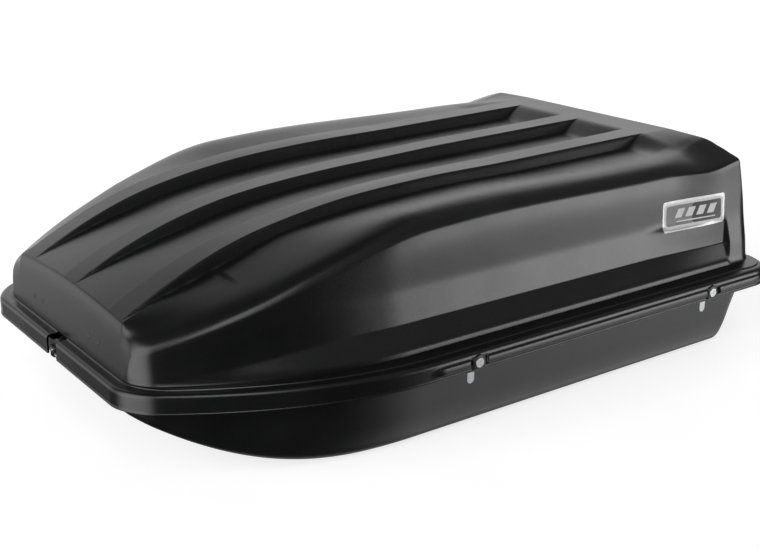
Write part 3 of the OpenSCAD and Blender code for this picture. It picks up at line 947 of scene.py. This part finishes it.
# ---- hardware from the CAD frame -------------------------------------------------------------
def dress(node, material, bevel=0.0):
    """Gives a CAD node its finish and softens its edges."""
    obj = frame["nodes"][node]
    for k in range(len(obj.material_slots)):
        obj.material_slots[k].material = material
    if not obj.material_slots:
        obj.data.materials.append(material)
    if bevel:
        weld = obj.modifiers.new("weld", "WELD")
        weld.merge_threshold = 0.00002
        soften = obj.modifiers.new("soften", "BEVEL")
        soften.width = bevel / MM
        soften.segments = 2
        soften.limit_method = "ANGLE"
        soften.angle_limit = math.radians(40)
        soften.harden_normals = False
    return obj


def dress_hardware():
    chrome = plated_metal("lock_chrome", 0.78, 0.14, 300, 0.01)
    zinc = plated_metal("zinc_plate", 0.62, 0.3, 420, 0.015)
    coat = coated_steel("black_coated_steel", 0.014)
    dress("hinge_lid_plate", coat, 0.25)
    dress("hinge_base_bracket", coat, 0.25)
    dress("hinge_pin", zinc, 0.3)
    dress("hinge_pin_clips", zinc, 0.08)
    dress("hinge_lid_rivets", coat, 0.2)
    dress("hinge_base_rivets", zinc, 0.2)
    dress("lock_housings", chrome, 0.35)
    dress("lock_nuts", zinc, 0.3)
    dress("clamp_plates", coat, 0.3)
    for end in ("front", "rear"):
        for side in ("left", "right"):
            dress(f"lock_plug_{end}_{side}", chrome, 0.2)
            dress(f"lock_cam_{end}_{side}", zinc, 0.2)
            dress(f"cam_screw_{end}_{side}", zinc, 0.2)


# ---- room ------------------------------------------------------------------------------------
def floor_material():
    """A pale sweep that is bright by itself, so that the shadow under the box stays faint."""
    m = Shader("pale_floor")
    m.set(Base_Color=m.blend(m.between(m.noise(3, 2), 0, 1), grey(0.5), grey(0.54)), Roughness=0.9,
          Emission_Color=grey(1.0), Emission_Strength=0.74)
    m.principled.inputs["Specular IOR Level"].default_value = 0.0
    return m.material


FLOOR_HALF = 12000


def build_floor():
    size = FLOOR_HALF
    drop = -BASE_DEPTH - 1
    points = [(-size, -size, drop), (size, -size, drop), (size, size, drop), (-size, size, drop)]
    floor = mesh_object("floor", points, [(0, 1, 2, 3)], floor_material(), smooth=False)
    floor.visible_glossy = False
    floor.visible_diffuse = False
    floor.visible_shadow = False


# Soft-edged panels of light far away round the box. Azimuth 0 is straight behind the box and 90
# is the left side of the car: (middle azimuth, half width, soft edge, lowest elevation, highest
# elevation, soft edge, strength), in degrees.
PANELS = [
    (-62, 38, 14, -30, 32, 8, 0.9),     # pale backdrop beyond the box
    (46, 12, 7, -18, 4, 4, 1.9),        # bright strip along the horizon, right of the backdrop
    (46, 12, 7, -9, 5, 5, 4.1),         # its brightest part
    (37, 6, 4, 4, 14, 4, 1.4),          # its upper left corner
    (20, 30, 10, -60, -18, 8, 0.85),    # floor below that strip
    (178, 26, 10, -30, 45, 10, 3.2),    # big diffuser on the nose side of the camera
    (-127, 23, 8, -14, 22, 8, 1.0),     # reflector left of the nose
    (-92, 30, 12, 30, 52, 8, 0.55),     # upper edge of the backdrop
    (-60, 40, 15, -80, -32, 8, 0.3),    # floor left of the box
    (122, 16, 6, 22, 60, 6, 3.2),       # high lamp over the nose
    (30, 70, 20, 12, 80, 8, 0.17),      # ceiling
]
AMBIENT = 0.03


def direction(azimuth, elevation):
    a = math.radians(azimuth)
    e = math.radians(elevation)
    return Vector((math.sin(a) * math.cos(e), math.cos(a) * math.cos(e), math.sin(e)))


class WorldMath:
    """Arithmetic on the direction a ray leaves in, as nodes."""

    def __init__(self, tree):
        self.tree = tree
        self.toward = tree.nodes.new("ShaderNodeTexCoord").outputs["Generated"]

    def math(self, operation, *values):
        node = self.tree.nodes.new("ShaderNodeMath")
        node.operation = operation
        for value, socket in zip(values, node.inputs):
            if isinstance(value, bpy.types.NodeSocket):
                self.tree.links.new(value, socket)
            else:
                socket.default_value = value
        return node.outputs[0]

    def along(self, vector):
        node = self.tree.nodes.new("ShaderNodeVectorMath")
        node.operation = "DOT_PRODUCT"
        self.tree.links.new(self.toward, node.inputs[0])
        node.inputs[1].default_value = vector
        return node.outputs["Value"]

    def step(self, value, start, end):
        """0 at start and 1 at end, eased; start may lie above end. Both in degrees."""
        node = self.tree.nodes.new("ShaderNodeMapRange")
        node.interpolation_type = "SMOOTHSTEP"
        self.tree.links.new(value, node.inputs["Value"])
        node.inputs["From Min"].default_value = math.radians(start)
        node.inputs["From Max"].default_value = math.radians(end)
        return node.outputs["Result"]


def build_world():
    world = bpy.data.worlds.new("studio")
    bpy.context.scene.world = world
    world.use_nodes = True
    tree = world.node_tree
    background = tree.nodes["Background"]
    background.inputs["Color"].default_value = (1, 1, 1, 1)
    w = WorldMath(tree)
    elevation = w.math("ARCSINE", w.along((0, 0, 1)))
    total = AMBIENT
    for azimuth, half, edge, low, high, edge_up, strength in PANELS:
        aside = w.math("ARCTAN2", w.along(direction(azimuth + 90, 0)), w.along(direction(azimuth, 0)))
        across = w.step(w.math("ABSOLUTE", aside), half + edge, half - edge)
        above = w.step(elevation, low - edge_up, low + edge_up)
        below = w.step(elevation, high + edge_up, high - edge_up)
        share = w.math("MULTIPLY", across, w.math("MULTIPLY", above, below))
        total = w.math("ADD", total, w.math("MULTIPLY", share, strength))
    camera_ray = tree.nodes.new("ShaderNodeLightPath").outputs["Is Camera Ray"]
    choose = tree.nodes.new("ShaderNodeMix")
    tree.links.new(camera_ray, choose.inputs["Factor"])
    tree.links.new(total, choose.inputs[2])
    choose.inputs[3].default_value = 1.0
    tree.links.new(choose.outputs[0], background.inputs["Strength"])


CAMERA_PLACE = (1.8972, -1.3485, 0.9528)
CAMERA_AZIMUTH = 54.2    # degrees from looking straight back along the box
CAMERA_DOWN = 18.93      # degrees below the horizon
CAMERA_LENS = 57.52


def build_camera():
    """Stands in front of and left of the box, looking down on it."""
    azimuth = math.radians(CAMERA_AZIMUTH)
    down = math.radians(CAMERA_DOWN)
    data = bpy.data.cameras.new("camera")
    data.sensor_width = 36
    data.lens = CAMERA_LENS
    data.clip_end = 100
    camera = bpy.data.objects.new("camera", data)
    camera.location = CAMERA_PLACE
    camera.rotation_euler = (math.pi / 2 - down, 0, azimuth)
    bpy.context.scene.collection.objects.link(camera)
    bpy.context.scene.camera = camera


# ---- build -------------------------------------------------------------------------------------
plastic = moulded_plastic()
build_lid(plastic)
build_base(plastic)
build_seal(seal_rubber())
build_label({
    "silver": label_print("label_silver", 0.55, 0.3, 0.6),
    "white": label_print("label_white", 0.75, 0.35),
    "grey": label_print("label_grey", 0.2, 0.35),
    "black": label_print("label_black", 0.008, 0.3),
})
dress_hardware()
build_floor()
build_world()
build_camera()
bpy.context.scene.view_settings.view_transform = "Standard"
